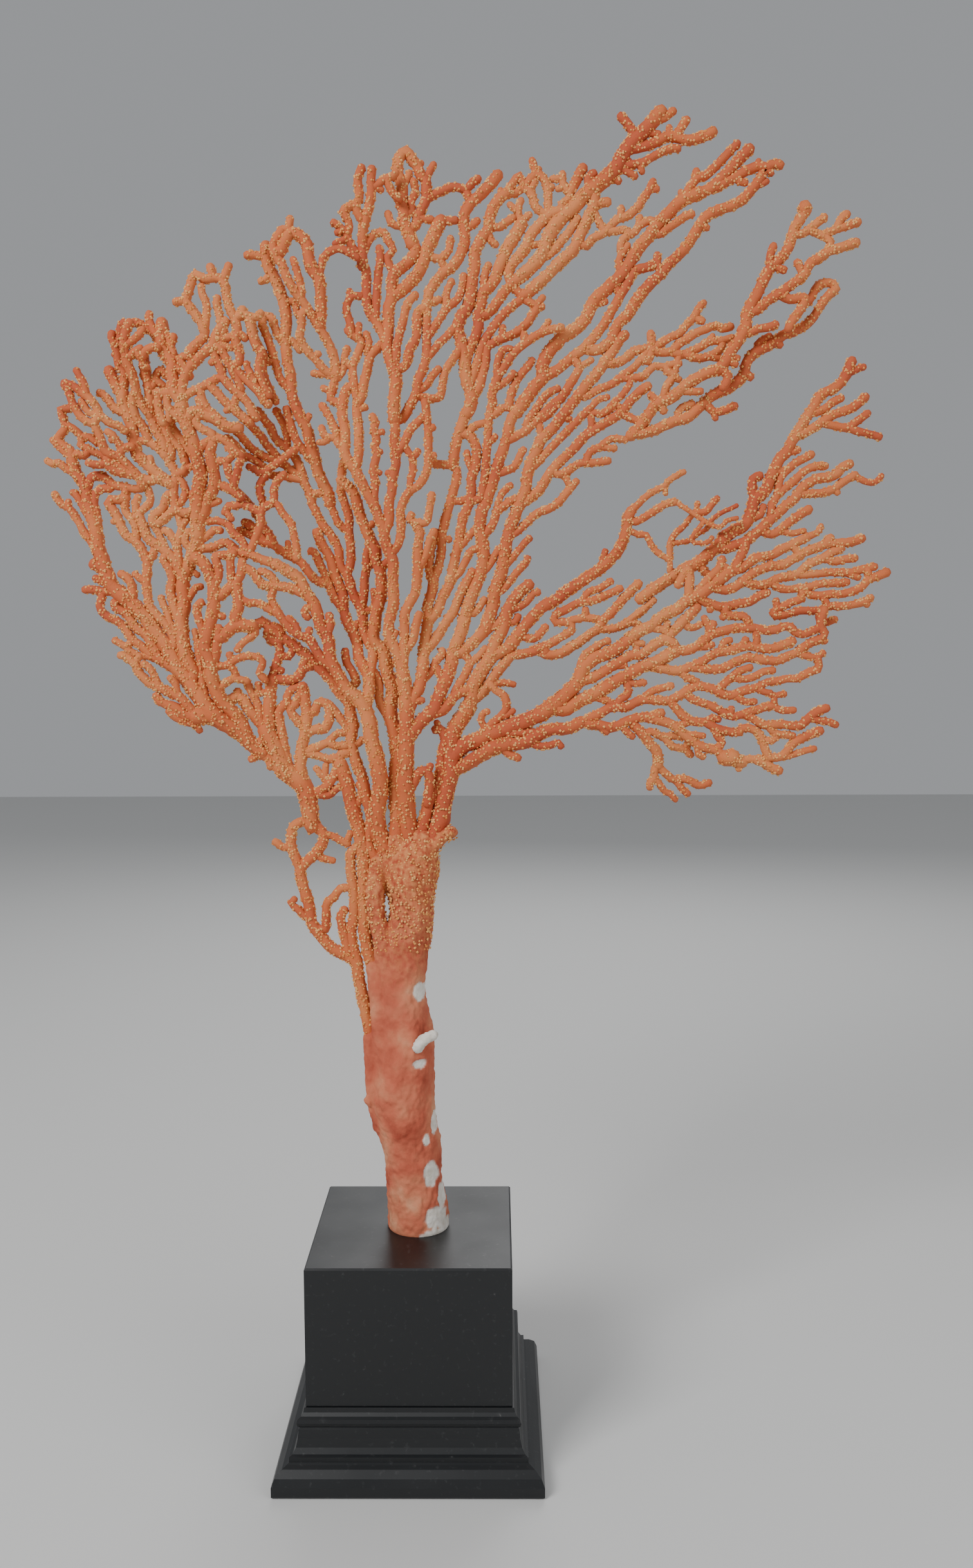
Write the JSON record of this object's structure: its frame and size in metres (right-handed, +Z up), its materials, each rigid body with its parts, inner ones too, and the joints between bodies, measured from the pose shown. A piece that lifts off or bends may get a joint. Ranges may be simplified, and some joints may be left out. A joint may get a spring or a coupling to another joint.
{
  "type": "sea fan on plinth",
  "caption": "Dried orange sea fan with a fine branching net of twigs, standing in a square black painted plinth.",
  "frame": {"origin": "centre of the plinth's underside", "axes": "+Z up, the fan's flat front faces -Y"},
  "size_m": [0.3822, 0.1238, 0.6276],
  "materials": {
    "coral_branch": "matte",
    "coral_trunk": "matte",
    "plinth_paint": "satin"
  },
  "bodies": {
    "root": {"plinth_block": "plinth_paint", "plinth_foot": "plinth_paint", "trunk": "coral_trunk", "left_limb": "coral_branch", "middle_left_limb": "coral_branch", "yellow_limb": "coral_branch", "left_centre_limb": "coral_branch", "tall_left_limb": "coral_branch", "centre_limb": "coral_branch", "right_limb_low": "coral_branch", "centre_low_twigs": "coral_branch", "left_yellow_crown": "coral_branch", "right_pink_twigs": "coral_branch", "upper_mid_left": "coral_branch", "left_lobe_fork": "coral_branch", "upper_centre_left": "coral_branch", "upper_left_arch": "coral_branch", "left_middle_limb": "coral_branch", "upper_left_limb": "coral_branch", "upper_left_tall": "coral_branch", "right_main_limb": "coral_branch", "right_spread_limb": "coral_branch", "centre_right_limb": "coral_branch", "upper_right_centre_twigs": "coral_branch", "upper_centre_limb": "coral_branch", "upper_inner_limb": "coral_branch", "top_right_limb": "coral_branch", "right_centre_limb": "coral_branch", "right_upper_limb": "coral_branch", "right_upper_second": "coral_branch", "right_upper_tips": "coral_branch", "top_right_outer_limb": "coral_branch", "top_centre_twigs": "coral_branch", "left_lobe_limb": "coral_branch", "left_lobe_inner": "coral_branch", "left_lobe_outer": "coral_branch", "left_lobe_centre": "coral_branch", "left_outer_limb": "coral_branch", "left_lobe_tall": "coral_branch", "left_inner_crown": "coral_branch", "left_lobe_net": "coral_branch", "left_lobe_head": "coral_branch", "left_outer_net": "coral_branch", "left_lobe_tip": "coral_branch", "left_lobe_crown": "coral_branch", "right_inner_limb": "coral_branch", "upper_right_twigs": "coral_branch", "top_left_twigs": "coral_branch", "upper_centre_slant": "coral_branch", "left_inner_twigs": "coral_branch", "right_low_limb": "coral_branch", "right_middle_limb": "coral_branch", "far_right_limb": "coral_branch", "far_right_loop": "coral_branch", "right_drooping_twigs": "coral_branch", "left_lobe_twigs": "coral_branch", "right_far_limb": "coral_branch", "right_fan_limb": "coral_branch"}
  },
  "joints": []
}
